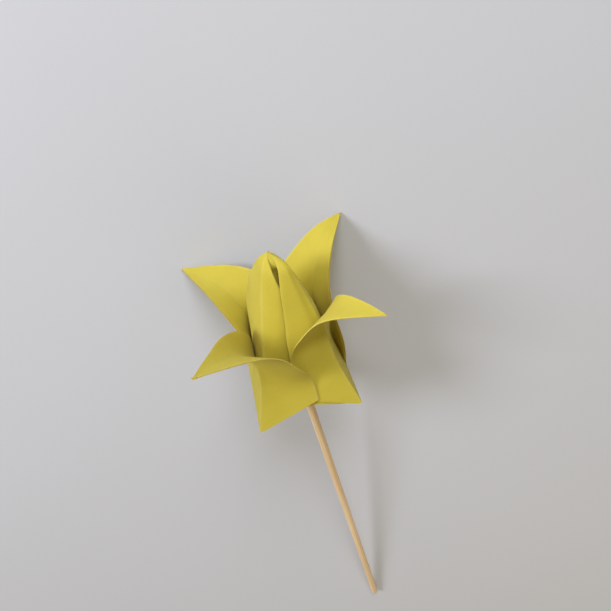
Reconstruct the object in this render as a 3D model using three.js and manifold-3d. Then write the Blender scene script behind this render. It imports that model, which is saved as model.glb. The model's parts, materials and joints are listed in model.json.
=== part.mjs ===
// Paper flower: an origami tulip folded from one square sheet, on a bamboo skewer.
// Units are millimetres. The bloom is worked out upright, with its axis along z and its front toward -y,
// and the flower is then laid down as it rests: on its two back petals and the lower end of the skewer.
import * as THREE from 'three';
import { mergeVertices } from 'three/addons/utils/BufferGeometryUtils.js';
import Module from 'manifold-3d';

const wasm = await Module();
wasm.setup();

// Sheet and bud. The corner crease and the petal's tip angles come from a 150 mm square. The folded and the
// raw side of a petal make up half the sheet's right angle between them, but for a little slack.
const CREASE_LENGTH = 60;
const TIP_ANGLE_FOLDED = 26;
const TIP_ANGLE_RAW = 18;
const BUD_HEIGHT = 53.7;
const BASE_HALF = 16.5;
const BASE_RISE = 4.5;

// Thickness of the solid paper, the step from layer to layer, where the walls stop short of the bud's tip,
// and the width of sliver that is closed up where layers are pressed together.
const LAYER = 0.4;
const LAYER_STEP = 0.25;
const WALL_TOP = 0.985;
const WELD = 0.02;

// Bottom of the bloom and the skewer through it.
const HOLE_RADIUS = 2.2;
const HOLE_HEIGHT = 4;
const SKEWER_RADIUS = 1.5;
const SKEWER_LENGTH = 200;
const SKEWER_INSIDE = 38;
const SKEWER_POINT = 12;
const SKEWER_LEAN = 3.5;
const SKEWER_SIDES = 16;

// Each wall of the bud bows out, and a front or back wall is drawn in behind its two flaps.
const WALL_BOW = 1.2;
const WALL_DRAWN_IN = 2.6;

// How far each corner crease is blown out above the petals is given at these shares of the bud's height.
const SWELL_SHARES = [0, 0.3, 0.6, 0.8, 0.93, 1];

// Corners of the bud: side is -1 at the left, +1 at the right; face is -1 at the front, +1 at the back.
// A petal bends away from the bud between bendFrom and bendTo (distances up its crease) by bend degrees.
// foldedLag and rawLag slant the bend across the sheet; roll and curl turn the blade's outer end.
// takeUp narrows the folded side where it wraps the foot of the bud, easing off by the share slackBy.
const CORNERS = [
  { name: 'front_left', side: -1, face: -1, layer: 5, swell: [0, 0, 1.15, 1.75, 1.95, 0.35],
    takeUp: 0.74, slackBy: 1.2, bendFrom: 9, bendTo: 35.4, bend: 62.3, foldedLag: 1.38, rawLag: 0.57,
    roll: 7.5, curl: 33.1 },
  { name: 'front_right', side: 1, face: -1, layer: 3, swell: [0, 0, 3, 3.5, 3.6, 0.5],
    takeUp: 0.63, slackBy: 1.4, bendFrom: 17.9, bendTo: 48.7, bend: 89.6, foldedLag: 1.38, rawLag: 1.27,
    roll: -2.5, curl: 35.7 },
  { name: 'back_left', side: -1, face: 1, layer: 3, swell: [0, 0, 3.9, 4.1, 2.5, 0.6],
    takeUp: 0.86, slackBy: 0.4, bendFrom: 8.8, bendTo: 52.7, bend: 112.9, foldedLag: 0.86, rawLag: 0.89,
    roll: -77.8, curl: 3.4 },
  { name: 'back_right', side: 1, face: 1, layer: 5, swell: [0, 0, 1.3, 1.4, 1.3, 0.4],
    takeUp: 0.86, slackBy: 0.4, bendFrom: 7.8, bendTo: 54.5, bend: 72.1, foldedLag: 0.85, rawLag: 2,
    roll: -69.5, curl: 34.2 },
];

// Of the two petals on a face one lies under the other, and is pressed flat up to these heights: near its
// own corner, and past the middle of the face.
const PRESSED = {
  front_right: { nearCorner: 18, pastMiddle: 18 },
  back_left: { nearCorner: 30, pastMiddle: 34 },
};
const PRESSED_FADE = 4;
const PRESSED_REACH = 8;

// Leading edges of the flaps: shares of the wall's width from the flap's own corner, at shares of its
// height.
const FLAP_SHARES = [0, 0.5, 0.8, 0.94, 1];
const FLAPS = [
  { corner: 'front_left', layer: 1, edge: [0.57, 0.63, 0.47, 0.3, 0.1] },
  { corner: 'front_right', layer: 2, edge: [0.57, 0.61, 0.53, 0.4, 0.3] },
  { corner: 'back_left', layer: 2, edge: [0.58, 0.6, 0.52, 0.5, 0.4] },
  { corner: 'back_right', layer: 1, edge: [0.6, 0.62, 0.5, 0.35, 0.2] },
];

const radians = THREE.MathUtils.degToRad;
const lerp = THREE.MathUtils.lerp;
const cornerNamed = (name) => CORNERS.find((corner) => corner.name === name);
const cornerAt = (side, face) => CORNERS.find((corner) => corner.side === side && corner.face === face);

function smooth(x) {
  const clamped = Math.min(Math.max(x, 0), 1);
  return clamped * clamped * (3 - 2 * clamped);
}

// A value read off straight lines between the given shares and values.
function profile(shares, values, share) {
  const at = Math.min(Math.max(share, shares[0]), shares.at(-1));
  const next = Math.max(shares.findIndex((end) => end >= at), 1);
  const part = (at - shares[next - 1]) / (shares[next] - shares[next - 1]);
  return lerp(values[next - 1], values[next], part);
}

// ---- Shape of the bud ----

// Horizontal distance of a corner crease from each middle plane, at a share of the bud's height.
const cornerReach = (corner, share) => BASE_HALF * (1 - share) + profile(SWELL_SHARES, corner.swell, share);

// How far a wall bows out: most at half its height and half its width.
function wallBow(share, across) {
  return WALL_BOW * Math.sin(Math.PI * Math.min(share, 1)) * 4 * across * (1 - across);
}

// Point on a front or back wall: across runs from the left corner (0) to the right corner (1).
function facePoint(face, across, z, outward) {
  const share = z / BUD_HEIGHT;
  const left = cornerReach(cornerAt(-1, face), share);
  const right = cornerReach(cornerAt(1, face), share);
  const out = lerp(left, right, across) + wallBow(share, across) + outward;
  return new THREE.Vector3(lerp(-left, right, across), face * out, z);
}

// Point on a side wall: across runs from the front corner (0) to the back corner (1).
function sidePoint(side, across, z, outward) {
  const share = z / BUD_HEIGHT;
  const front = cornerReach(cornerAt(side, -1), share);
  const back = cornerReach(cornerAt(side, 1), share);
  const out = lerp(front, back, across) + wallBow(share, across) + outward;
  return new THREE.Vector3(side * out, lerp(-front, back, across), z);
}

// The bottom edge of a front or back wall rises to the middle, where the flap corners stand off the base.
const faceFoot = (across) => BASE_RISE * (1 - Math.abs(2 * across - 1));

// ---- Sheets of paper ----

// A closed solid of the given thickness around a grid of points, open nowhere.
function sheetSolid(grid, thickness) {
  const rows = grid.length;
  const columns = grid[0].length;
  const positions = [];
  for (const offset of [0.5, -0.5]) {
    for (let i = 0; i < rows; i += 1) {
      for (let j = 0; j < columns; j += 1) {
        const along = grid[Math.min(i + 1, rows - 1)][j].clone().sub(grid[Math.max(i - 1, 0)][j]);
        const across = grid[i][Math.min(j + 1, columns - 1)].clone().sub(grid[i][Math.max(j - 1, 0)]);
        const normal = along.cross(across).normalize();
        positions.push(...grid[i][j].clone().addScaledVector(normal, offset * thickness).toArray());
      }
    }
  }
  const at = (layer, i, j) => layer * rows * columns + i * columns + j;
  const triangles = [];
  const quad = (a, b, c, d) => triangles.push(a, b, c, a, c, d);
  for (let i = 0; i + 1 < rows; i += 1) {
    for (let j = 0; j + 1 < columns; j += 1) {
      quad(at(0, i, j), at(0, i + 1, j), at(0, i + 1, j + 1), at(0, i, j + 1));
      quad(at(1, i, j), at(1, i, j + 1), at(1, i + 1, j + 1), at(1, i + 1, j));
    }
  }
  for (let i = 0; i + 1 < rows; i += 1) {
    quad(at(0, i + 1, 0), at(0, i, 0), at(1, i, 0), at(1, i + 1, 0));
    quad(at(0, i, columns - 1), at(0, i + 1, columns - 1), at(1, i + 1, columns - 1), at(1, i, columns - 1));
  }
  for (let j = 0; j + 1 < columns; j += 1) {
    quad(at(0, 0, j), at(0, 0, j + 1), at(1, 0, j + 1), at(1, 0, j));
    quad(at(0, rows - 1, j + 1), at(0, rows - 1, j), at(1, rows - 1, j), at(1, rows - 1, j + 1));
  }
  return new wasm.Manifold(new wasm.Mesh({
    numProp: 3,
    vertProperties: new Float32Array(positions),
    triVerts: new Uint32Array(triangles),
  }));
}

// A sheet whose grid runs the other way round comes out inside out, so its columns are reversed.
function sheetFacingOut(grid, thickness) {
  const solid = sheetSolid(grid, thickness);
  return solid.volume() > 0 ? solid : sheetSolid(grid.map((row) => row.toReversed()), thickness);
}

// A grid of points from a function of two shares, rows first.
function gridOf(rows, columns, point) {
  return Array.from({ length: rows + 1 }, (_, i) =>
    Array.from({ length: columns + 1 }, (__, j) => point(i / rows, j / columns)));
}

const WALL_ROWS = 14;
const WALL_COLUMNS = 4;

function wallGrid(axis, sign) {
  return gridOf(WALL_ROWS, WALL_COLUMNS, (up, across) => {
    const foot = axis === 'face' ? faceFoot(across) : 0;
    const z = lerp(foot, BUD_HEIGHT * WALL_TOP, up);
    const drawnIn = -WALL_DRAWN_IN * Math.sin(Math.PI * up) * Math.sin(Math.PI * across);
    return axis === 'face' ? facePoint(sign, across, z, drawnIn) : sidePoint(sign, across, z, 0);
  });
}

// A flap lies on its wall along the crease and steps out onto its own layer within a quarter of its width.
function flapGrid(flap) {
  const corner = cornerNamed(flap.corner);
  return gridOf(WALL_ROWS, WALL_COLUMNS, (up, across) => {
    const fromCorner = across * profile(FLAP_SHARES, flap.edge, up);
    const wallShare = corner.side < 0 ? fromCorner : 1 - fromCorner;
    const z = lerp(faceFoot(wallShare), BUD_HEIGHT * WALL_TOP, up);
    return facePoint(corner.face, wallShare, z, flap.layer * LAYER_STEP * smooth(across * 4));
  });
}

// One of the four triangles folded under the bud, from its base edge in to the hole around the skewer.
function bottomGrid(axis, sign) {
  return gridOf(1, WALL_COLUMNS, (inward, across) => {
    const edge = axis === 'face'
      ? facePoint(sign, across, faceFoot(across), 0)
      : sidePoint(sign, across, 0, 0);
    const turn = Math.atan2(edge.y, edge.x);
    const hole = new THREE.Vector3(HOLE_RADIUS * Math.cos(turn), HOLE_RADIUS * Math.sin(turn), HOLE_HEIGHT);
    return edge.lerp(hole, inward);
  });
}

// ---- Petals ----

const PETAL_ROWS = 15;
const PETAL_COLUMNS = 3;
const STRIDES_A_ROW = 8;

// The petal's last row stops short of its tip by this share of the crease, and leaves it blunt.
const PETAL_END = 0.985;

// The blade lies open flat from this share of its bend, and starts to curl at that share before its end.
const OPENED_BY = 0.6;
const CURL_BEFORE_END = 0.3;

// The petal on the flat sheet: x runs up its crease from the base corner, y toward the folded edge.
const FOOT_FOLDED = new THREE.Vector2(
  CREASE_LENGTH * Math.sin(radians(TIP_ANGLE_FOLDED)) ** 2,
  CREASE_LENGTH * Math.sin(radians(TIP_ANGLE_FOLDED)) * Math.cos(radians(TIP_ANGLE_FOLDED)),
);
const FOOT_RAW = new THREE.Vector2(
  CREASE_LENGTH * Math.sin(radians(TIP_ANGLE_RAW)) ** 2,
  -CREASE_LENGTH * Math.sin(radians(TIP_ANGLE_RAW)) * Math.cos(radians(TIP_ANGLE_RAW)),
);
const PETAL_TIP = new THREE.Vector2(CREASE_LENGTH, 0);

// The crease of a petal as a curve in space: a point and three directions at each step along it.
// heading runs up the crease, outer points away from the bud, and over points toward the folded edge.
function petalFrames(corner) {
  const base = new THREE.Vector3(corner.side * BASE_HALF, corner.face * BASE_HALF, 0);
  const heading = new THREE.Vector3(0, 0, BUD_HEIGHT).sub(base).normalize();
  const folded = new THREE.Vector3(-corner.side, 0, 0).projectOnPlane(heading).normalize();
  const raw = new THREE.Vector3(0, -corner.face, 0).projectOnPlane(heading).normalize();
  const outer = folded.clone().add(raw).normalize().negate();
  const over = folded.clone().sub(raw).normalize();
  const halfFold = Math.acos(-folded.dot(outer));
  const stride = CREASE_LENGTH / PETAL_ROWS / STRIDES_A_ROW;
  const curlFrom = lerp(corner.bendTo, corner.bendFrom, CURL_BEFORE_END);
  const frames = [];
  for (let i = 0; i <= PETAL_ROWS * STRIDES_A_ROW; i += 1) {
    const along = i * stride;
    if (i % STRIDES_A_ROW === 0) {
      frames.push({ along, halfFold, base: base.clone(), heading: heading.clone(), outer: outer.clone(),
        over: over.clone() });
    }
    const mid = along + stride / 2;
    const stage = (mid - corner.bendFrom) / (corner.bendTo - corner.bendFrom);
    const rate = stage > 0 && stage < 1 ? (6 * stage * (1 - stage)) / (corner.bendTo - corner.bendFrom) : 0;
    const curl = mid > curlFrom ? radians(corner.curl) / (CREASE_LENGTH - curlFrom) : 0;
    const bending = rate * radians(corner.bend) + curl;
    const share = Math.min(mid / CREASE_LENGTH, PETAL_END);
    const edge = FOOT_FOLDED.clone().lerp(PETAL_TIP, Math.pow(share, corner.foldedLag));
    const twisting = bending * ((edge.x - share * CREASE_LENGTH) / edge.y) + rate * radians(corner.roll);
    const turned = heading.clone().addScaledVector(outer, bending * stride).normalize();
    base.addScaledVector(heading, stride / 2).addScaledVector(turned, stride / 2);
    outer.addScaledVector(heading, -bending * stride).addScaledVector(over, twisting * stride);
    outer.projectOnPlane(turned).normalize();
    heading.copy(turned);
    over.projectOnPlane(heading).projectOnPlane(outer).normalize();
  }
  return frames;
}

// How firmly a point of an underlying petal is pressed onto its wall, from 0 to 1.
function pressedAt(point, corner) {
  const pressed = PRESSED[corner.name];
  if (!pressed) {
    return 0;
  }
  const own = corner.side * point.x;
  const nearCorner = smooth((pressed.nearCorner - point.z) / PRESSED_FADE)
    * smooth((PRESSED_REACH - own) / PRESSED_FADE);
  const pastMiddle = smooth((pressed.pastMiddle - point.z) / PRESSED_FADE) * smooth((1 - own) / PRESSED_FADE);
  return Math.max(nearCorner, pastMiddle);
}

// Keep a petal point outside the bud: the folded half in front of the front or back wall, and the raw half
// outside the side wall.
function clearOfBud(point, corner, half) {
  if (point.z > BUD_HEIGHT) {
    return point;
  }
  const z = Math.max(point.z, 0);
  if (half >= 0) {
    const left = facePoint(corner.face, 0, z, 0).x;
    const right = facePoint(corner.face, 1, z, 0).x;
    const across = THREE.MathUtils.clamp((point.x - left) / (right - left), 0, 1);
    const wall = corner.face * facePoint(corner.face, across, z, corner.layer * LAYER_STEP).y;
    const free = Math.max(corner.face * point.y, wall);
    point.y = corner.face * lerp(free, wall, pressedAt(point, corner));
  }
  if (half <= 0) {
    const front = sidePoint(corner.side, 0, z, 0).y;
    const back = sidePoint(corner.side, 1, z, 0).y;
    const across = THREE.MathUtils.clamp((point.y - front) / (back - front), 0, 1);
    const wall = sidePoint(corner.side, across, z, LAYER_STEP).x;
    point.x = corner.side * Math.max(corner.side * point.x, corner.side * wall);
  }
  return point;
}

function petalGrid(corner) {
  const opening = OPENED_BY * (corner.bendTo - corner.bendFrom);
  return petalFrames(corner).map((frame) => {
    const share = Math.min(frame.along / CREASE_LENGTH, PETAL_END);
    const opened = smooth((frame.along - corner.bendFrom) / opening);
    const halfFold = lerp(frame.halfFold, Math.PI / 2, opened);
    const foldedEdge = FOOT_FOLDED.clone().lerp(PETAL_TIP, Math.pow(share, corner.foldedLag));
    foldedEdge.y *= lerp(corner.takeUp, 1, smooth(share / corner.slackBy));
    const rawEdge = FOOT_RAW.clone().lerp(PETAL_TIP, Math.pow(share, corner.rawLag));
    const row = [];
    for (let j = -PETAL_COLUMNS; j <= PETAL_COLUMNS; j += 1) {
      const edge = j < 0 ? rawEdge : foldedEdge;
      const reach = Math.abs(j) / PETAL_COLUMNS;
      const point = frame.base.clone()
        .addScaledVector(frame.heading, reach * (edge.x - frame.along))
        .addScaledVector(frame.outer, -reach * Math.abs(edge.y) * Math.cos(halfFold))
        .addScaledVector(frame.over, reach * edge.y * Math.sin(halfFold));
      row.push(clearOfBud(point, corner, j));
    }
    return row;
  });
}

// ---- Solids ----

function foldedBloom() {
  const sheets = [
    wallGrid('face', -1),
    wallGrid('face', 1),
    wallGrid('side', -1),
    wallGrid('side', 1),
    bottomGrid('face', -1),
    bottomGrid('face', 1),
    bottomGrid('side', -1),
    bottomGrid('side', 1),
    ...FLAPS.map(flapGrid),
    ...CORNERS.map(petalGrid),
  ];
  const joined = sheets
    .map((grid) => sheetFacingOut(grid, LAYER))
    .reduce((whole, solid) => whole.add(solid));
  // Where layers are pressed together, slivers of air are left between them: only the outer surface is kept.
  return joined.simplify(WELD).decompose()
    .reduce((largest, solid) => (solid.volume() > largest.volume() ? solid : largest));
}

function geometryOf(solid) {
  const mesh = solid.getMesh();
  const geometry = new THREE.BufferGeometry();
  geometry.setAttribute('position', new THREE.BufferAttribute(new Float32Array(mesh.vertProperties), 3));
  geometry.setIndex(new THREE.BufferAttribute(new Uint32Array(mesh.triVerts), 1));
  return mergeVertices(geometry);
}

// A round stick with its point up inside the bud and its lower end cut square. It leans in the hole.
const SKEWER_DIRECTION = new THREE.Vector3(
  -Math.sin(radians(SKEWER_LEAN)), 0, Math.cos(radians(SKEWER_LEAN)));
const SKEWER_FOOT = new THREE.Vector3(0, 0, HOLE_HEIGHT)
  .addScaledVector(SKEWER_DIRECTION, SKEWER_INSIDE - SKEWER_LENGTH);

function bambooSkewer() {
  const outline = [
    new THREE.Vector2(0, 0),
    new THREE.Vector2(SKEWER_RADIUS, 0),
    new THREE.Vector2(SKEWER_RADIUS, SKEWER_LENGTH - SKEWER_POINT),
    new THREE.Vector2(0, SKEWER_LENGTH),
  ];
  return new THREE.LatheGeometry(outline, SKEWER_SIDES);
}

const paper = new THREE.MeshStandardMaterial({
  color: 0xd2c358, roughness: 0.75, metalness: 0, name: 'paper' });
const bamboo = new THREE.MeshStandardMaterial({
  color: 0xe3c193, roughness: 0.6, metalness: 0, name: 'bamboo' });

const bloom = new THREE.Mesh(geometryOf(foldedBloom()), paper);
bloom.name = 'folded_bloom';
const skewer = new THREE.Mesh(bambooSkewer(), bamboo);
skewer.name = 'bamboo_skewer';
skewer.position.copy(SKEWER_FOOT);
skewer.quaternion.setFromUnitVectors(new THREE.Vector3(0, 1, 0), SKEWER_DIRECTION);

// ---- Rest ----

const petalTip = (name) => petalFrames(cornerNamed(name)).at(-1).base;

// The flower lies on the tips of its two back petals and the foot of the skewer, with +x toward the bud.
function layDown(upright) {
  const heel = SKEWER_FOOT.clone().add(new THREE.Vector3(0, SKEWER_RADIUS, 0));
  const toLeft = petalTip('back_left').sub(heel);
  const toRight = petalTip('back_right').sub(heel);
  const up = toLeft.cross(toRight).normalize();
  if (up.y > 0) {
    up.negate();
  }
  const ahead = new THREE.Vector3(0, 0, 1).projectOnPlane(up).normalize();
  const left = up.clone().cross(ahead);
  upright.quaternion.setFromRotationMatrix(new THREE.Matrix4().makeBasis(ahead, left, up).transpose());
  const box = new THREE.Box3().setFromObject(upright, true);
  const middle = box.getCenter(new THREE.Vector3());
  upright.position.set(-middle.x, -middle.y, -box.min.z);
  return upright;
}

const flower = new THREE.Group();
flower.add(bloom, skewer);

export default layDown(flower);
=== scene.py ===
"""Looks of the paper flower: an origami tulip of two-ply folds on a bamboo skewer, lying on a pale table."""

import json
import math

import bpy
import numpy as np
from mathutils import Matrix, Vector, noise


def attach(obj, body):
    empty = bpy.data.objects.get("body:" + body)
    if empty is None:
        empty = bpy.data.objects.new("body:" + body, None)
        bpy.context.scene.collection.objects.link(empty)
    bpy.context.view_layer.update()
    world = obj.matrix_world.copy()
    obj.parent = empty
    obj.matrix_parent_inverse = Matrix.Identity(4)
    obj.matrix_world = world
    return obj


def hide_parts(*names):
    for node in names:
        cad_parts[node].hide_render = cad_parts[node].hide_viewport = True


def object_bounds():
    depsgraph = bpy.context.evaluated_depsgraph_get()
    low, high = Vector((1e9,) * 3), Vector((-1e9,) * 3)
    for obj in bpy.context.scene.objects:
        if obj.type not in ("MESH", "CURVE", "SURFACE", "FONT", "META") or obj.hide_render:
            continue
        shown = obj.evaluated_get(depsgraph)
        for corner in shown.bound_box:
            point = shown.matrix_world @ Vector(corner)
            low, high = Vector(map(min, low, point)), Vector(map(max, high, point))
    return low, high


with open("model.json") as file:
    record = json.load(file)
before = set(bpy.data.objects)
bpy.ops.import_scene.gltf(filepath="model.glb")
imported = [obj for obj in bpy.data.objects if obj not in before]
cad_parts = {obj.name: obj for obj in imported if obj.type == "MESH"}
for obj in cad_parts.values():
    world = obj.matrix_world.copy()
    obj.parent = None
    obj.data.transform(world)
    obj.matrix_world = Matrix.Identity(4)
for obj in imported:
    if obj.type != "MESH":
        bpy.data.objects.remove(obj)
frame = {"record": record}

CAD_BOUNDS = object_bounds()
MM = 0.001

# The upright bloom, in millimetres: its axis is z and its front faces -y. These are the CAD's driving sizes.
CREASE_LENGTH = 60.0
TIP_ANGLE_FOLDED = math.radians(26)
TIP_ANGLE_RAW = math.radians(18)
BUD_HEIGHT = 53.7
BASE_HALF = 16.5
BASE_RISE = 4.5
RAW_TAKE_UP = 0.93
WALL_BOW = 1.2
WALL_DRAWN_IN = 2.6
FOOT_DRAWN_IN = 3.6
HOLE_RADIUS = 2.2
HOLE_HEIGHT = 4.0

# The skewer.
SKEWER_RADIUS = 1.5
SKEWER_LENGTH = 200.0
SKEWER_INSIDE = 38.0
SKEWER_POINT = 12.0
SKEWER_LEAN = math.radians(3.5)

# Paper: the thickness of one ply, half the space between the two plies of a fold, and where layers lie.
PLY = 0.12
PLY_HALF_GAP = 0.13
FLAP_LIFT = {"front_left": 0.35, "front_right": 0.9, "back_left": 0.9, "back_right": 0.35}
PETAL_LIFT = {"front_left": 1.8, "front_right": 1.35, "back_left": 1.35, "back_right": 1.8}
SIDE_LIFT = 0.5

# How steeply each under flap sinks away from a slanting bend, beneath the flap that crosses it.
FLAP_TUCK = {"front_left": 2.4, "front_right": 0.0, "back_left": 0.0, "back_right": 2.4}

# How far each corner crease is blown out above the petals, at these shares of the bud's height.
SWELL_SHARES = (0.3, 0.6, 0.8, 0.93, 1.0)

# Half the length over which corners in those shares are rounded, and how much of the swell closes at the tip.
ROUNDING = 0.008
TIP_CLOSES_FROM = 0.96
TIP_CLOSING = 0.75

# Corners: side -1 left, +1 right; face -1 front, +1 back. A petal bends away from the bud between bend_from
# and bend_to, distances up its crease, by bend degrees; the lags slant the bend across the sheet, roll and
# curl turn the blade's outer end, and take_up narrows the folded side where it wraps the foot of the bud.
CORNERS = {
    "front_left": dict(side=-1, face=-1, swell=(0, 1.15, 1.75, 1.95, 0.35), take_up=0.74, slack_by=1.2,
                       bend_from=9, bend_to=35.4, bend=62.3, folded_lag=1.38, raw_lag=0.57,
                       roll=7.5, curl=33.1),
    "front_right": dict(side=1, face=-1, swell=(0, 3.0, 3.5, 3.6, 0.5), take_up=0.63, slack_by=1.4,
                        bend_from=17.9, bend_to=48.7, bend=89.6, folded_lag=1.38, raw_lag=1.27,
                        roll=-2.5, curl=35.7),
    "back_left": dict(side=-1, face=1, swell=(0, 3.9, 4.1, 2.5, 0.6), take_up=0.86, slack_by=0.4,
                      bend_from=8.8, bend_to=52.7, bend=112.9, folded_lag=0.86, raw_lag=0.89,
                      roll=-77.8, curl=3.4),
    "back_right": dict(side=1, face=1, swell=(0, 1.3, 1.4, 1.3, 0.4), take_up=0.86, slack_by=0.4,
                       bend_from=7.8, bend_to=54.5, bend=72.1, folded_lag=0.85, raw_lag=2.0,
                       roll=-69.5, curl=34.2),
}

# Leading edges of the flaps: shares of the wall's width from the flap's own corner, at these shares of the
# wall's height.
FLAP_SHARES = (0.0, 0.5, 0.8, 0.94, 1.0)
FLAPS = {
    "front_left": (0.57, 0.63, 0.47, 0.30, 0.10),
    "front_right": (0.57, 0.61, 0.53, 0.40, 0.30),
    "back_left": (0.58, 0.60, 0.52, 0.50, 0.40),
    "back_right": (0.60, 0.62, 0.50, 0.35, 0.20),
}


def smooth(x):
    """An easy step from 0 to 1."""
    x = np.clip(x, 0.0, 1.0)
    return x * x * (3 - 2 * x)


def mix(a, b, t):
    return a + (b - a) * t


def soft_max(a, b, width=0.3):
    """The larger of a and b, with the change between them rounded over about width."""
    return 0.5 * (a + b + np.sqrt((a - b) ** 2 + width**2))


def unit(v):
    return v / np.linalg.norm(v)


def across_plane(v, normal):
    """v with its part along normal taken out."""
    return v - normal * np.dot(v, normal)


# ---- Shape of the bud ----


def rounded_profile(share, shares, values):
    """A line through the values at the shares, with its corners rounded."""
    near = [share + ROUNDING * k for k in (-2, -1, 0, 1, 2)]
    return np.mean([np.interp(at, shares, values) for at in near], axis=0)


def corner_reach(name, share):
    """How far a corner crease stands from each middle plane, at a share of the bud's height."""
    swell = rounded_profile(share, SWELL_SHARES, CORNERS[name]["swell"])
    return BASE_HALF * (1 - share) + swell * (1 - TIP_CLOSING * smooth((share - TIP_CLOSES_FROM) / 0.04))


def corner_name(side, face):
    return ("front" if face < 0 else "back") + "_" + ("left" if side < 0 else "right")


def wall_bow(share, across):
    return WALL_BOW * np.sin(np.pi * np.clip(share, 0, 1)) * 4 * across * (1 - across)


def face_point(face, across, z, outward):
    share = z / BUD_HEIGHT
    left = corner_reach(corner_name(-1, face), share)
    right = corner_reach(corner_name(1, face), share)
    y = face * (mix(left, right, across) + wall_bow(share, across) + outward)
    return np.stack(np.broadcast_arrays(mix(-left, right, across), y, z), axis=-1)


def side_point(side, across, z, outward):
    share = z / BUD_HEIGHT
    front = corner_reach(corner_name(side, -1), share)
    back = corner_reach(corner_name(side, 1), share)
    x = side * (mix(front, back, across) + wall_bow(share, across) + outward)
    return np.stack(np.broadcast_arrays(x, mix(-front, back, across), z), axis=-1)


def face_foot(across):
    """The bottom edge of the flaps rises to the middle of the wall."""
    return BASE_RISE * (1 - np.abs(2 * across - 1))


# ---- Sheets ----


SHARP_FROM = math.radians(32)


class Sheets:
    """Collects sheets of paper, each with two faces and its cut edges, into one mesh."""

    def __init__(self):
        self.points = []
        self.faces = []
        self.wear_and_highlight = []
        self.count = 0

    def add(self, grid, wear_and_highlight, closed=False, thickness=PLY):
        rows, columns = grid.shape[:2]
        along = np.gradient(grid, axis=0)
        if closed:
            across = np.roll(grid, -1, axis=1) - np.roll(grid, 1, axis=1)
        else:
            across = np.gradient(grid, axis=1)
        normal = np.cross(along, across)
        length = np.linalg.norm(normal, axis=-1, keepdims=True)
        normal = normal / np.maximum(length, 1e-9)
        for offset in (0.5, -0.5):
            self.points.append((grid + normal * offset * thickness).reshape(-1, 3))
            self.wear_and_highlight.append(wear_and_highlight.reshape(-1))
        at = np.arange(rows * columns).reshape(rows, columns) + self.count
        if closed:
            at = np.concatenate([at, at[:, :1]], axis=1)
        under = at + rows * columns
        top = [at[:-1, :-1], at[1:, :-1], at[1:, 1:], at[:-1, 1:]]
        bottom = [under[:-1, :-1], under[:-1, 1:], under[1:, 1:], under[1:, :-1]]
        rims = [[at[0, :-1], at[0, 1:], under[0, 1:], under[0, :-1]],
                [at[-1, 1:], at[-1, :-1], under[-1, :-1], under[-1, 1:]]]
        if not closed:
            rims.append([at[1:, 0], at[:-1, 0], under[:-1, 0], under[1:, 0]])
            rims.append([at[:-1, -1], at[1:, -1], under[1:, -1], under[:-1, -1]])
        for corners in [top, bottom, *rims]:
            self.faces.append(np.stack([c.reshape(-1) for c in corners], axis=-1))
        self.count += 2 * rows * columns

    def build(self, name):
        mesh = bpy.data.meshes.new(name)
        points = np.concatenate(self.points) * MM
        mesh.from_pydata(points.tolist(), [], np.concatenate(self.faces).tolist())
        # Paleness of folds and edges, carried to the paper: worn paper and a painted highlight.
        wear_and_highlight = mesh.attributes.new("wear_and_highlight", "FLOAT", "POINT")
        wear_and_highlight.data.foreach_set("value", np.concatenate(self.wear_and_highlight).astype(np.float32))
        mesh.polygons.foreach_set("use_smooth", [True] * len(mesh.polygons))
        mesh.set_sharp_from_angle(angle=SHARP_FROM)
        mesh.validate()
        piece = bpy.data.objects.new(name, mesh)
        bpy.context.scene.collection.objects.link(piece)
        return piece


def fold_arc(before, first, last, steps=3):
    """Points round a fold from the edge of one ply, first, to that of the next, last.

    before is the column next to first, inside the sheet.
    """
    middle = (first + last) / 2
    radius = np.linalg.norm(first - last, axis=-1, keepdims=True) / 2
    ahead = first - before
    ahead = ahead / np.maximum(np.linalg.norm(ahead, axis=-1, keepdims=True), 1e-9)
    angles = [math.pi * k / (steps + 1) for k in range(1, steps + 1)]
    return [middle + (first - middle) * math.cos(a) + ahead * radius * math.sin(a) for a in angles]


# ---- The bud: one closed strip of paper round four walls and four flaps ----

BUD_ROWS = 72
WALL_COLUMNS = 18
FLAP_COLUMNS = 14

# Where the side walls and the front and back walls start, outward of the creases; the walls meet the corners
# just inside them.
SIDE_WALL_OUT = 0.15
INNER_WALL_OUT = -0.25
INNER_WALL_MARGIN = 0.01

# A flap leaves its corner in the first third of its width. Its outer and inner plies start this far out.
FLAP_ROOT_OUT = {True: 0.15, False: -0.1}

# The flap's free edge stands up off the bud near the tip.
FLAP_SPREAD = 0.5

# The slanting bend of an under flap: its share of the flap's width at a share of the height, and its slant.
TUCK_REACH = 0.75
TUCK_HEIGHT = 0.72
TUCK_SLANT = 1.7

# Shares of the height at each row, closer together toward the tip.
EVEN = np.linspace(0, 1, BUD_ROWS)
UP = EVEN + 0.2 * np.sin(math.pi * EVEN) * EVEN

# Layers draw together into the tip.
NEAR_TIP = 1 - 0.85 * smooth((UP - 0.88) / 0.12)


def height_from(foot):
    return foot + (BUD_HEIGHT - foot) * UP


def side_columns(side):
    """A side wall, from its front corner to its back corner."""
    columns = []
    for across in np.linspace(0, 1, WALL_COLUMNS):
        columns.append(side_point(side, across, height_from(0.0), SIDE_WALL_OUT * NEAR_TIP))
    return columns


def inner_wall_columns(face):
    """A front or back wall behind its flaps, drawn in, from the left corner to the right corner."""
    columns = []
    depth = WALL_DRAWN_IN * np.sin(np.pi * UP**2) + FOOT_DRAWN_IN * (1 - UP)
    for across in np.linspace(INNER_WALL_MARGIN, 1 - INNER_WALL_MARGIN, WALL_COLUMNS):
        outward = INNER_WALL_OUT - depth * math.sin(math.pi * across) ** 0.8
        columns.append(face_point(face, across, height_from(0.0), outward * NEAR_TIP))
    return columns


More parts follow.
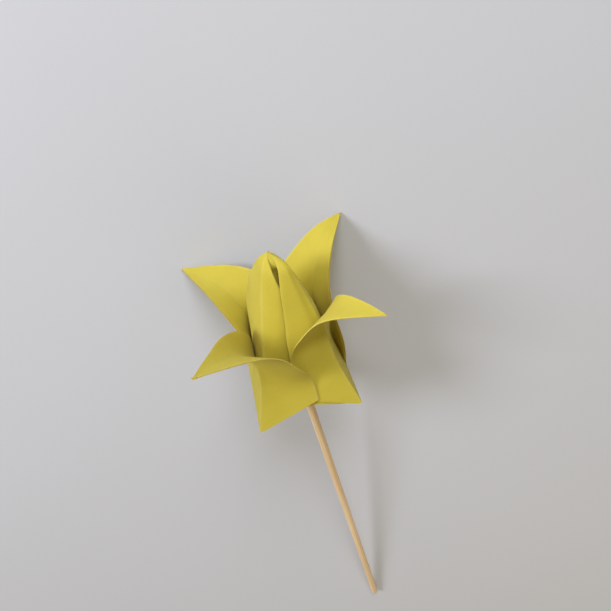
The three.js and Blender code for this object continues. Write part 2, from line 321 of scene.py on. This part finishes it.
def flap_columns(name, outer):
    """One ply of a flap, from its corner to its leading edge. The flap's free edge stands up off the bud."""
    corner = CORNERS[name]
    columns = []
    for reach in np.linspace(0, 1, FLAP_COLUMNS):
        from_corner = reach * rounded_profile(UP, FLAP_SHARES, FLAPS[name])
        share = from_corner if corner["side"] < 0 else 1 - from_corner
        z = height_from(face_foot(share))
        left_corner = smooth(reach * 3)
        half_gap = PLY_HALF_GAP if outer else -PLY_HALF_GAP
        lift = FLAP_LIFT[name] * left_corner + FLAP_ROOT_OUT[outer] * (1 - left_corner)
        lift = (lift + half_gap * left_corner) * NEAR_TIP
        spread = FLAP_SPREAD * smooth((UP - 0.62) / 0.2) * smooth((1.0 - UP) / 0.2)
        spread = spread * smooth((reach - 0.3) / 0.7)
        tucked_from = TUCK_REACH - TUCK_SLANT * (TUCK_HEIGHT - UP)
        tuck = FLAP_TUCK[name] * soft_max(reach - tucked_from, 0.0, 0.05) * smooth(UP / 0.35) * NEAR_TIP
        columns.append(face_point(corner["face"], share, z, lift + spread - tuck))
    return columns


def flap_strip(name, outward_first):
    """Both plies of a flap with the fold at the leading edge between them."""
    first = flap_columns(name, outward_first)
    last = flap_columns(name, not outward_first)[::-1]
    return first + fold_arc(first[-2], first[-1], last[0]) + last


def bud_sheet(sheets):
    front = inner_wall_columns(-1)
    back = inner_wall_columns(1)[::-1]
    strips = [
        side_columns(-1)[::-1][:-1],
        flap_strip("front_left", True),
        front,
        flap_strip("front_right", False),
        side_columns(1)[1:-1],
        flap_strip("back_right", True),
        back,
        flap_strip("back_left", False)[:-1],
    ]
    columns = [column for strip in strips for column in strip]
    grid = np.stack(columns, axis=1)
    # The flaps' folded leading edges and the side walls' corner creases are painted paler: worn paper, and a
    # painted highlight along these folds.
    wear_and_highlight = np.zeros(grid.shape[:2])
    start = 0
    for strip in strips:
        if len(strip) > 2 * FLAP_COLUMNS - 2:
            middle = start + len(strip) // 2
            wear_and_highlight[:, middle - 1:middle + 2] = 1.0
        start += len(strip)
    for corner_column in (WALL_COLUMNS - 1, 0):
        wear_and_highlight[:, corner_column] = 1.0
    sheets.add(grid, wear_and_highlight, closed=True, thickness=PLY * (0.35 + 0.65 * NEAR_TIP[:, None, None]))


# ---- Petals ----

PETAL_ROWS = 72
PETAL_COLUMNS = 16
STRIDES = 6

# How often each petal is smoothed along its crease, where it leaves the bud.
EASING = 24

FOOT_FOLDED = np.array([
    CREASE_LENGTH * math.sin(TIP_ANGLE_FOLDED) ** 2,
    CREASE_LENGTH * math.sin(TIP_ANGLE_FOLDED) * math.cos(TIP_ANGLE_FOLDED),
])
FOOT_RAW = np.array([
    CREASE_LENGTH * math.sin(TIP_ANGLE_RAW) ** 2,
    -CREASE_LENGTH * math.sin(TIP_ANGLE_RAW) * math.cos(TIP_ANGLE_RAW),
])
PETAL_TIP = np.array([CREASE_LENGTH, 0.0])

# The blade's curl starts this share of the bend before the bend ends, and its sheet is fully open after
# another share of the bend.
CURL_BEFORE_END = 0.3
OPENED_BY = 0.6
OPEN_HALF_FOLD = math.radians(87)

# A petal's width stops narrowing at these shares of its crease, in the twisting and in the sheet.
TWIST_END = 0.985
BLADE_END = 0.993

# The pressed part of a petal fades over the first distance, and starts this far from the face's middle.
PRESSED_FADE = 4
PRESSED_REACH = 8

# The bud stops holding the petals out over this height below its tip.
HOLD_FADE = 6


def petal_frames(name):
    """The petal's crease as a curve: a point and three directions at each row.

    heading runs up the crease, outer points away from the bud, and over points toward the folded edge.
    """
    corner = CORNERS[name]
    side, face = corner["side"], corner["face"]
    base = np.array([side * BASE_HALF, face * BASE_HALF, 0.0])
    heading = unit(np.array([0, 0, BUD_HEIGHT]) - base)
    folded = unit(across_plane(np.array([-side, 0.0, 0.0]), heading))
    raw = unit(across_plane(np.array([0.0, -face, 0.0]), heading))
    outer = -unit(folded + raw)
    over = unit(folded - raw)
    half_fold = math.acos(-np.dot(folded, outer))
    span = corner["bend_to"] - corner["bend_from"]
    stride = CREASE_LENGTH / (PETAL_ROWS - 1) / STRIDES
    curl_from = mix(corner["bend_to"], corner["bend_from"], CURL_BEFORE_END)
    curl_rate = math.radians(corner["curl"]) / (CREASE_LENGTH - curl_from)
    frames = []
    for i in range((PETAL_ROWS - 1) * STRIDES + 1):
        if i % STRIDES == 0:
            frames.append((i * stride, base.copy(), heading, outer, over))
        middle = (i + 0.5) * stride
        stage = (middle - corner["bend_from"]) / span
        rate = 6 * stage * (1 - stage) / span if 0 < stage < 1 else 0.0
        curl = curl_rate if middle > curl_from else 0.0
        bending = rate * math.radians(corner["bend"]) + curl
        share = min(middle / CREASE_LENGTH, TWIST_END)
        edge = mix(FOOT_FOLDED, PETAL_TIP, share ** corner["folded_lag"])
        twisting = bending * (edge[0] - share * CREASE_LENGTH) / edge[1] + rate * math.radians(corner["roll"])
        turned = unit(heading + outer * bending * stride)
        base = base + (heading + turned) * (stride / 2)
        outer = unit(across_plane(outer - heading * bending * stride + over * twisting * stride, turned))
        heading = turned
        over = unit(across_plane(across_plane(over, heading), outer))
    return frames, half_fold


# These petals are pressed flat, up to these heights, where the face's other petal crosses over them: near
# their own corner, and past the middle of the face.
PRESSED_UNDER = {"front_right": (18, 18), "back_left": (30, 34)}


def clear_of_bud(points, name, half):
    """Keeps a petal's folded half in front of its wall and flaps, and its raw half outside the side wall.

    half is 1 for the folded half, -1 for the raw half and 0 for the crease, which keeps clear of both.
    """
    corner = CORNERS[name]
    z = np.clip(points[..., 2], 0, BUD_HEIGHT)
    below_tip = 1 - smooth((points[..., 2] - BUD_HEIGHT + HOLD_FADE) / HOLD_FADE)
    if half >= 0:
        left = face_point(corner["face"], 0.0, z, 0.0)[..., 0]
        right = face_point(corner["face"], 1.0, z, 0.0)[..., 0]
        across = np.clip((points[..., 0] - left) / (right - left), 0, 1)
        wall = corner["face"] * face_point(corner["face"], across, z, PETAL_LIFT[name])[..., 1]
        free = corner["face"] * points[..., 1]
        if name in PRESSED_UNDER:
            top, middle_top = PRESSED_UNDER[name]
            own = corner["side"] * points[..., 0]
            low = smooth((top - z) / PRESSED_FADE) * smooth((PRESSED_REACH - own) / 5)
            high = smooth((middle_top - z) / PRESSED_FADE) * smooth((1 - own) / PRESSED_FADE)
            free = mix(free, np.minimum(free, wall), np.maximum(low, high))
        points[..., 1] = corner["face"] * mix(free, soft_max(free, wall), below_tip)
    if half <= 0:
        front = side_point(corner["side"], 0.0, z, 0.0)[..., 1]
        back = side_point(corner["side"], 1.0, z, 0.0)[..., 1]
        across = np.clip((points[..., 1] - front) / (back - front), 0, 1)
        wall = corner["side"] * side_point(corner["side"], across, z, SIDE_LIFT)[..., 0]
        free = corner["side"] * points[..., 0]
        points[..., 0] = corner["side"] * mix(free, soft_max(free, wall), below_tip)
    return points


def petal_middle(name):
    """The middle surface of a petal: rows up the crease, columns from the raw edge to the folded edge."""
    corner = CORNERS[name]
    frames, half_fold = petal_frames(name)
    grid = np.zeros((PETAL_ROWS, 2 * PETAL_COLUMNS + 1, 3))
    for i, (along, base, heading, outer, over) in enumerate(frames):
        share = min(along / CREASE_LENGTH, BLADE_END)
        opening = OPENED_BY * (corner["bend_to"] - corner["bend_from"])
        opened = smooth((along - corner["bend_from"]) / opening)
        fold = mix(half_fold, OPEN_HALF_FOLD, opened)
        folded_edge = mix(FOOT_FOLDED, PETAL_TIP, share ** corner["folded_lag"])
        raw_edge = mix(FOOT_RAW, PETAL_TIP, share ** corner["raw_lag"])
        slack = smooth(share / corner["slack_by"])
        folded_edge = folded_edge * np.array([1, mix(corner["take_up"], 1, slack)])
        raw_edge = raw_edge * np.array([1, mix(RAW_TAKE_UP, 1, slack)])
        for j in range(-PETAL_COLUMNS, PETAL_COLUMNS + 1):
            edge = raw_edge if j < 0 else folded_edge
            reach = abs(j) / PETAL_COLUMNS
            grid[i, j + PETAL_COLUMNS] = (base + heading * reach * (edge[0] - along)
                                          - outer * reach * abs(edge[1]) * math.cos(fold)
                                          + over * reach * edge[1] * math.sin(fold))
    raw, crease, folded = np.split(grid, [PETAL_COLUMNS, PETAL_COLUMNS + 1], axis=1)
    grid = np.concatenate([clear_of_bud(raw, name, -1), clear_of_bud(crease, name, 0),
                           clear_of_bud(folded, name, 1)], axis=1)
    for _ in range(EASING):
        grid[1:-1] = (grid[:-2] + 2 * grid[1:-1] + grid[2:]) / 4
    return grid


def grid_normals(grid):
    normal = np.cross(np.gradient(grid, axis=0), np.gradient(grid, axis=1))
    return normal / np.maximum(np.linalg.norm(normal, axis=-1, keepdims=True), 1e-9)


# The loose blade's gentle unevenness: waves a millimetre, and height.
RIPPLE_SCALE = 0.055
RIPPLE_HEIGHT = 0.9

# How far the plies part further at the raw edge.
RAW_EDGE_PARTS = 0.12

# Paleness along the petal's middle crease, its folded edge and its raw edge: worn paper, and a painted
# highlight along these rims.
CREASE_WEAR_AND_HIGHLIGHT = 0.35
FOLD_WEAR_AND_HIGHLIGHT = 1.0
RAW_EDGE_WEAR_AND_HIGHLIGHT = 0.7


def petal_sheet(sheets, name):
    """A petal's two plies, joined round its folded edge, rippled, and painted paler along its crease and
    edges for wear and highlight.
    """
    grid = petal_middle(name)
    normal = grid_normals(grid)
    middle_row = PETAL_ROWS // 3
    outward = grid[middle_row, PETAL_COLUMNS] * np.array([1, 1, 0])
    if np.dot(normal[middle_row, PETAL_COLUMNS], outward) < 0:
        normal = -normal
    share = np.linspace(0, 1, PETAL_ROWS)[:, None]
    loose = smooth((share - 0.45) / 0.3)
    ripple = np.array([[noise.noise(Vector(p) * RIPPLE_SCALE) for p in row] for row in grid])
    grid = grid + normal * (RIPPLE_HEIGHT * loose * ripple)[..., None]
    from_crease = np.abs(np.linspace(-1, 1, 2 * PETAL_COLUMNS + 1))[None, :]
    raw_side = (np.linspace(-1, 1, 2 * PETAL_COLUMNS + 1) < 0)[None, :]
    near_raw_edge = raw_side * smooth((from_crease - 0.6) / 0.4)
    apart = PLY_HALF_GAP + RAW_EDGE_PARTS * near_raw_edge * smooth(share / 0.3)
    narrow = 1 - 0.35 * smooth((share - 0.9) / 0.1)
    outer_ply = grid + normal * (apart * narrow)[..., None]
    inner_ply = grid - normal * (apart * narrow)[..., None]
    outer_columns = [outer_ply[:, j] for j in range(outer_ply.shape[1])]
    inner_columns = [inner_ply[:, j] for j in range(inner_ply.shape[1])][::-1]
    arc = fold_arc(outer_columns[-2], outer_columns[-1], inner_columns[0])
    strip = np.stack(outer_columns + arc + inner_columns, axis=1)
    wear_and_highlight = np.zeros(strip.shape[:2])
    # Paler at the crease and edges: worn paper, and a painted highlight along them.
    crease = PETAL_COLUMNS
    wear_and_highlight[:, [crease, -1 - crease]] = CREASE_WEAR_AND_HIGHLIGHT
    wear_and_highlight[:, 2 * PETAL_COLUMNS:2 * PETAL_COLUMNS + 5] = FOLD_WEAR_AND_HIGHLIGHT
    wear_and_highlight[:, [0, -1]] = RAW_EDGE_WEAR_AND_HIGHLIGHT
    sheets.add(strip, wear_and_highlight)


# ---- The folded-under bottom ----


BOTTOM_ROWS = 10
FRONT_EDGE_COLUMNS = 21
SIDE_EDGE_COLUMNS = 12
SIDE_BOTTOM_LIFT = -0.15


def bottom_quarter(sheets, edge, lift):
    """Paper from a stretch of the base edge in to the hole around the skewer."""
    turn = np.arctan2(edge[:, 1], edge[:, 0])
    rim_height = np.full(len(edge), HOLE_HEIGHT)
    hole = np.stack([HOLE_RADIUS * np.cos(turn), HOLE_RADIUS * np.sin(turn), rim_height], -1)
    inward = np.linspace(0, 1, BOTTOM_ROWS)[:, None, None]
    grid = mix(edge[None], hole[None], inward)
    grid[..., 2] += lift * np.sin(np.pi * inward[..., 0] * 0.5)
    wear_and_highlight = np.zeros(grid.shape[:2])
    wear_and_highlight[0] = 0.8
    sheets.add(grid, wear_and_highlight)


def bottom_sheets(sheets):
    for face in (-1, 1):
        across = np.linspace(INNER_WALL_MARGIN, 1 - INNER_WALL_MARGIN, FRONT_EDGE_COLUMNS)
        recess = INNER_WALL_OUT - FOOT_DRAWN_IN * np.sin(np.pi * across) ** 0.8
        base = np.zeros(FRONT_EDGE_COLUMNS)
        bottom_quarter(sheets, face_point(face, across, base, recess), 0.0)
    for side in (-1, 1):
        for low, high in ((0.0, 0.495), (0.505, 1.0)):
            across = np.linspace(low, high, SIDE_EDGE_COLUMNS)
            base = np.zeros(SIDE_EDGE_COLUMNS)
            bottom_quarter(sheets, side_point(side, across, base, SIDE_LIFT), SIDE_BOTTOM_LIFT)


# ---- Placement: the CAD lays the upright flower down ----

SKEWER_DIRECTION = np.array([-math.sin(SKEWER_LEAN), 0.0, math.cos(SKEWER_LEAN)])
SKEWER_FOOT = np.array([0.0, 0.0, HOLE_HEIGHT]) + SKEWER_DIRECTION * (SKEWER_INSIDE - SKEWER_LENGTH)


def lying_matrix():
    """From the upright flower, in metres, to the row frame.

    It rests on its two back petal tips and the lower edge of the skewer's foot.
    """
    heel = SKEWER_FOOT + np.array([0, SKEWER_RADIUS, 0])
    tips = [petal_frames(name)[0][-1][1] for name in ("back_left", "back_right")]
    up = unit(np.cross(tips[0] - heel, tips[1] - heel))
    if up[1] > 0:
        up = -up
    ahead = unit(across_plane(np.array([0.0, 0.0, 1.0]), up))
    turn = Matrix((Vector(ahead), Vector(np.cross(up, ahead)), Vector(up)))
    foot = [m for m in frame["record"]["mounts"] if m["name"] == "skewer_foot"][0]["pos_m"]
    shift = Vector(foot) - turn @ (Vector(SKEWER_FOOT) * MM)
    return Matrix.Translation(shift) @ turn.to_4x4()


LIE = lying_matrix()


# ---- Materials ----

# GLOW tints the light that comes through the sheet.
PAPER_LIGHT = (0.71, 0.63, 0.06, 1)
PAPER_DEEP = (0.66, 0.575, 0.045, 1)
PAPER_FLECK = (0.74, 0.665, 0.10, 1)
PAPER_GLOW = (1.0, 0.7, 0.14, 1)
# The paler paper along folds and edges: worn paper, and a painted highlight along their rims.
PAPER_WORN_AND_LIT = (0.80, 0.73, 0.20, 1)
BAMBOO_LIGHT = (0.84, 0.66, 0.44, 1)
BAMBOO_DARK = (0.66, 0.45, 0.25, 1)
BAMBOO_PORE = (0.36, 0.2, 0.09, 1)
TABLE_COLOURS = (0.53, 0.555, 0.64, 1), (0.56, 0.585, 0.67, 1)

def node(tree, kind, **values):
    made = tree.nodes.new(kind)
    for key, value in values.items():
        if key in made.inputs:
            made.inputs[key].default_value = value
        else:
            setattr(made, key, value)
    return made


def new_material(name):
    material = bpy.data.materials.new(name)
    material.use_nodes = True
    tree = material.node_tree
    tree.nodes.clear()
    output = node(tree, "ShaderNodeOutputMaterial")
    return material, tree, output


def colour_mix(tree, factor, first, second, blend="MIX"):
    """A colour mix node. factor, first and second are sockets or plain values."""
    made = tree.nodes.new("ShaderNodeMix")
    made.data_type = "RGBA"
    made.blend_type = blend
    for socket, value in ((made.inputs[0], factor), (made.inputs[6], first), (made.inputs[7], second)):
        if isinstance(value, bpy.types.NodeSocket):
            tree.links.new(value, socket)
        else:
            socket.default_value = value
    return made.outputs[2]


def ramp(tree, source, low, high):
    """source stretched so that low becomes 0 and high becomes 1."""
    made = node(tree, "ShaderNodeMapRange")
    made.inputs["From Min"].default_value = low
    made.inputs["From Max"].default_value = high
    tree.links.new(source, made.inputs["Value"])
    return made.outputs["Result"]


def paper_material():
    """Yellow uncoated paper: cloudy fibre, a felted surface, folds and edges painted paler for wear and for
    the highlight along their rims, and light through the sheet.
    """
    material, tree, output = new_material("yellow_paper")
    place = node(tree, "ShaderNodeTexCoord").outputs["Object"]
    cloud = node(tree, "ShaderNodeTexNoise", Scale=140.0, Detail=3.0, Roughness=0.55)
    fibre = node(tree, "ShaderNodeTexNoise", Scale=2600.0, Detail=4.0, Roughness=0.7)
    felt = node(tree, "ShaderNodeTexNoise", Scale=900.0, Detail=5.0, Roughness=0.6)
    for texture in (cloud, fibre, felt):
        tree.links.new(place, texture.inputs["Vector"])
    wear_and_highlight = node(tree, "ShaderNodeAttribute", attribute_name="wear_and_highlight").outputs["Fac"]

    base = colour_mix(tree, ramp(tree, cloud.outputs["Fac"], 0.3, 0.7), PAPER_DEEP, PAPER_LIGHT)
    flecked = colour_mix(tree, ramp(tree, fibre.outputs["Fac"], 0.25, 0.95), base, PAPER_FLECK)
    # Folds and edges turn paler in felted patches: worn paper, and a painted highlight along their rims.
    worn_and_lit = node(tree, "ShaderNodeMath", operation="MULTIPLY")
    tree.links.new(wear_and_highlight, worn_and_lit.inputs[0])
    tree.links.new(ramp(tree, felt.outputs["Fac"], 0.2, 0.9), worn_and_lit.inputs[1])
    colour = colour_mix(tree, worn_and_lit.outputs[0], flecked, PAPER_WORN_AND_LIT)

    bump = node(tree, "ShaderNodeBump", Strength=0.25, Distance=0.00008)
    tree.links.new(felt.outputs["Fac"], bump.inputs["Height"])
    fine = node(tree, "ShaderNodeBump", Strength=0.2, Distance=0.00003)
    tree.links.new(fibre.outputs["Fac"], fine.inputs["Height"])
    tree.links.new(bump.outputs["Normal"], fine.inputs["Normal"])

    surface = node(tree, "ShaderNodeBsdfPrincipled", Roughness=0.72)
    surface.inputs["Specular IOR Level"].default_value = 0.4
    surface.inputs["Sheen Weight"].default_value = 0.06
    surface.inputs["Sheen Roughness"].default_value = 0.6
    through = node(tree, "ShaderNodeBsdfTranslucent")
    both = node(tree, "ShaderNodeMixShader", Fac=0.33)
    glow = colour_mix(tree, 1.0, colour, PAPER_GLOW, blend="MULTIPLY")
    tree.links.new(colour, surface.inputs["Base Color"])
    tree.links.new(glow, through.inputs["Color"])
    for shader in (surface, through):
        tree.links.new(fine.outputs["Normal"], shader.inputs["Normal"])
    tree.links.new(surface.outputs[0], both.inputs[1])
    tree.links.new(through.outputs[0], both.inputs[2])
    tree.links.new(both.outputs[0], output.inputs["Surface"])
    return material


def bamboo_material():
    """Bare bamboo: long fibres along the stick, darker vessel lines and a faint polish."""
    material, tree, output = new_material("bare_bamboo")
    place = node(tree, "ShaderNodeTexCoord").outputs["UV"]
    stretch = node(tree, "ShaderNodeMapping")
    stretch.inputs["Scale"].default_value = (9.0, 3.0, 1.0)
    tree.links.new(place, stretch.inputs["Vector"])
    long_grain = node(tree, "ShaderNodeTexNoise", Scale=1.6, Detail=6.0, Roughness=0.65)
    vessels = node(tree, "ShaderNodeTexNoise", Scale=7.0, Detail=3.0, Roughness=0.6)
    tree.links.new(stretch.outputs[0], long_grain.inputs["Vector"])
    tree.links.new(stretch.outputs[0], vessels.inputs["Vector"])
    base = colour_mix(tree, ramp(tree, long_grain.outputs["Fac"], 0.3, 0.7), BAMBOO_DARK, BAMBOO_LIGHT)
    colour = colour_mix(tree, ramp(tree, vessels.outputs["Fac"], 0.62, 0.85), base, BAMBOO_PORE)
    bump = node(tree, "ShaderNodeBump", Strength=0.35, Distance=0.00012)
    tree.links.new(long_grain.outputs["Fac"], bump.inputs["Height"])
    surface = node(tree, "ShaderNodeBsdfPrincipled", Roughness=0.5)
    surface.inputs["Specular IOR Level"].default_value = 0.4
    tree.links.new(colour, surface.inputs["Base Color"])
    tree.links.new(bump.outputs["Normal"], surface.inputs["Normal"])
    tree.links.new(surface.outputs[0], output.inputs["Surface"])
    return material


def table_material():
    material, tree, output = new_material("pale_table")
    place = node(tree, "ShaderNodeTexCoord").outputs["Object"]
    mottle = node(tree, "ShaderNodeTexNoise", Scale=6.0, Detail=3.0)
    tree.links.new(place, mottle.inputs["Vector"])
    colour = colour_mix(tree, mottle.outputs["Fac"], *TABLE_COLOURS)
    surface = node(tree, "ShaderNodeBsdfPrincipled", Roughness=0.6)
    tree.links.new(colour, surface.inputs["Base Color"])
    tree.links.new(surface.outputs[0], output.inputs["Surface"])
    return material


# ---- Pieces ----


def make_bloom():
    sheets = Sheets()
    bud_sheet(sheets)
    for name in CORNERS:
        petal_sheet(sheets, name)
    bottom_sheets(sheets)
    bloom = sheets.build("paper_tulip")
    bloom.data.transform(LIE)
    bloom.data.materials.append(paper_material())
    return bloom


SKEWER_SIDES = 40
SKEWER_TIP_RADIUS = 0.06

# The stick stays this much inside its CAD radius, and its foot is eased over the last half millimetre.
SKEWER_INSET = 0.03
FOOT_STATIONS = (0.0, 0.15, 0.5)
FOOT_EASING = 0.12


def make_skewer():
    """A round stick, shaved slightly uneven, with a sharpened top and a square-cut foot."""
    sides = SKEWER_SIDES
    stations = list(FOOT_STATIONS)
    stations += list(np.linspace(1.5, SKEWER_LENGTH - SKEWER_POINT, 90))
    stations += list(np.linspace(SKEWER_LENGTH - SKEWER_POINT, SKEWER_LENGTH, 14))[1:]
    points, loops = [], []
    for along in stations:
        taper = min(1.0, (SKEWER_LENGTH - along) / SKEWER_POINT)
        eased = FOOT_EASING * max(0.0, FOOT_STATIONS[-1] - along) / FOOT_STATIONS[-1]
        radius = max(SKEWER_RADIUS * taper, SKEWER_TIP_RADIUS) - eased
        for k in range(sides):
            turn = 2 * math.pi * k / sides
            around = Vector((math.cos(turn), math.sin(turn), 0))
            uneven = noise.noise(Vector((around.x * 2, around.y * 2, along * 0.012)))
            groove = noise.noise(Vector((around.x * 9, around.y * 9, along * 0.02)))
            shaved = radius * (1 + 0.02 * uneven + 0.012 * groove) - SKEWER_INSET
            points.append((around * max(shaved, SKEWER_INSET) + Vector((0, 0, along))) * MM)
    rows = len(stations)
    for i in range(rows - 1):
        for k in range(sides):
            n = (k + 1) % sides
            loops.append((i * sides + k, i * sides + n, (i + 1) * sides + n, (i + 1) * sides + k))
    loops.append(tuple(range(sides - 1, -1, -1)))
    loops.append(tuple((rows - 1) * sides + k for k in range(sides)))
    mesh = bpy.data.meshes.new("bamboo_stick")
    mesh.from_pydata(points, [], loops)
    uv = mesh.uv_layers.new(name="grain")
    for polygon in mesh.polygons:
        around = [mesh.loops[i].vertex_index % sides for i in polygon.loop_indices]
        seam = len(around) == 4 and max(around) - min(around) > sides // 2
        for loop, k in zip(polygon.loop_indices, around):
            turn = k + sides if seam and k == 0 else k
            row = mesh.loops[loop].vertex_index // sides
            uv.data[loop].uv = (turn / sides, stations[row] / SKEWER_LENGTH)
    mesh.polygons.foreach_set("use_smooth", [True] * len(mesh.polygons))
    mesh.set_sharp_from_angle(angle=math.radians(40))
    stick = bpy.data.objects.new("bamboo_stick", mesh)
    bpy.context.scene.collection.objects.link(stick)
    lean = Vector((0, 0, 1)).rotation_difference(Vector(SKEWER_DIRECTION)).to_matrix().to_4x4()
    mesh.transform(LIE @ Matrix.Translation(Vector(SKEWER_FOOT) * MM) @ lean)
    mesh.materials.append(bamboo_material())
    return stick


TABLE_HALF = 2.5

# The table lies a hair below the flower, so that the plies don't sink into it.
TABLE_DROP = 0.0001


def make_table():
    mesh = bpy.data.meshes.new("table_top")
    corners = [(x * TABLE_HALF, y * TABLE_HALF, 0) for x, y in ((-1, -1), (1, -1), (1, 1), (-1, 1))]
    mesh.from_pydata(corners, [], [(0, 1, 2, 3)])
    table = bpy.data.objects.new("table_top", mesh)
    table.location.z = CAD_BOUNDS[0][2] - TABLE_DROP
    bpy.context.scene.collection.objects.link(table)
    mesh.materials.append(table_material())
    return table


# ---- Light and camera, placed round the upright bloom and laid down with it ----


def toward(direction):
    """A direction of the upright bloom, in the row frame."""
    return (LIE.to_3x3() @ Vector(direction)).normalized()


# The point of the upright bloom, in metres, that the lights face.
LIT_POINT = (0, 0, 25 * MM)


def soft_light(name, direction, distance, size, power, colour):
    light = bpy.data.lights.new(name, "AREA")
    light.shape = "DISK"
    light.size = size
    light.energy = power
    light.color = colour
    lamp = bpy.data.objects.new(name, light)
    centre = LIE @ Vector(LIT_POINT)
    lamp.location = centre + toward(direction) * distance
    lamp.rotation_euler = (centre - lamp.location).to_track_quat("-Z", "Y").to_euler()
    bpy.context.scene.collection.objects.link(lamp)


DAYLIGHT = (0.98, 0.98, 1.0)
WARM_BOUNCE = (1.0, 0.8, 0.38)
ROOM_COLOUR = (1.0, 0.88, 0.62, 1)
ROOM_STRENGTH = 0.35


def make_lights():
    soft_light("window", (-0.8, -0.35, 0.5), 1.1, 0.4, 7.8, DAYLIGHT)
    soft_light("ceiling", (0.05, -0.4, 0.92), 1.1, 0.55, 7.8, DAYLIGHT)
    soft_light("bounce", (0.25, -0.8, -0.55), 0.8, 0.6, 0.7, WARM_BOUNCE)
    world = bpy.data.worlds.new("studio")
    world.use_nodes = True
    world.node_tree.nodes["Background"].inputs["Color"].default_value = ROOM_COLOUR
    world.node_tree.nodes["Background"].inputs["Strength"].default_value = ROOM_STRENGTH
    bpy.context.scene.world = world


# Camera, in the upright bloom's millimetres: above its front, close in, with the axis leaning left.
CAMERA_FROM = (-2.9, -143.5, 136.6)
CAMERA_AT = (8.0, 9.3, 24.2)
CAMERA_UP = (0.2597, 0.5604, 0.7865)
CAMERA_LENS = 33.0
CAMERA_SENSOR = 36.0


def make_camera():
    data = bpy.data.cameras.new("camera")
    data.lens = CAMERA_LENS
    data.sensor_width = CAMERA_SENSOR
    data.clip_start = 0.01
    camera = bpy.data.objects.new("camera", data)
    bpy.context.scene.collection.objects.link(camera)
    place = LIE @ (Vector(CAMERA_FROM) * MM)
    ahead = ((LIE @ (Vector(CAMERA_AT) * MM)) - place).normalized()
    right = ahead.cross(toward(CAMERA_UP)).normalized()
    above = right.cross(ahead)
    turn = Matrix((right, above, -ahead)).transposed().to_4x4()
    camera.matrix_world = Matrix.Translation(place) @ turn
    bpy.context.scene.camera = camera


bloom = make_bloom()
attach(bloom, "root")
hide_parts("folded_bloom")
stick = make_skewer()
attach(stick, "root")
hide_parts("bamboo_skewer")
make_table()
make_lights()
make_camera()
bpy.context.scene.view_settings.view_transform = "Standard"
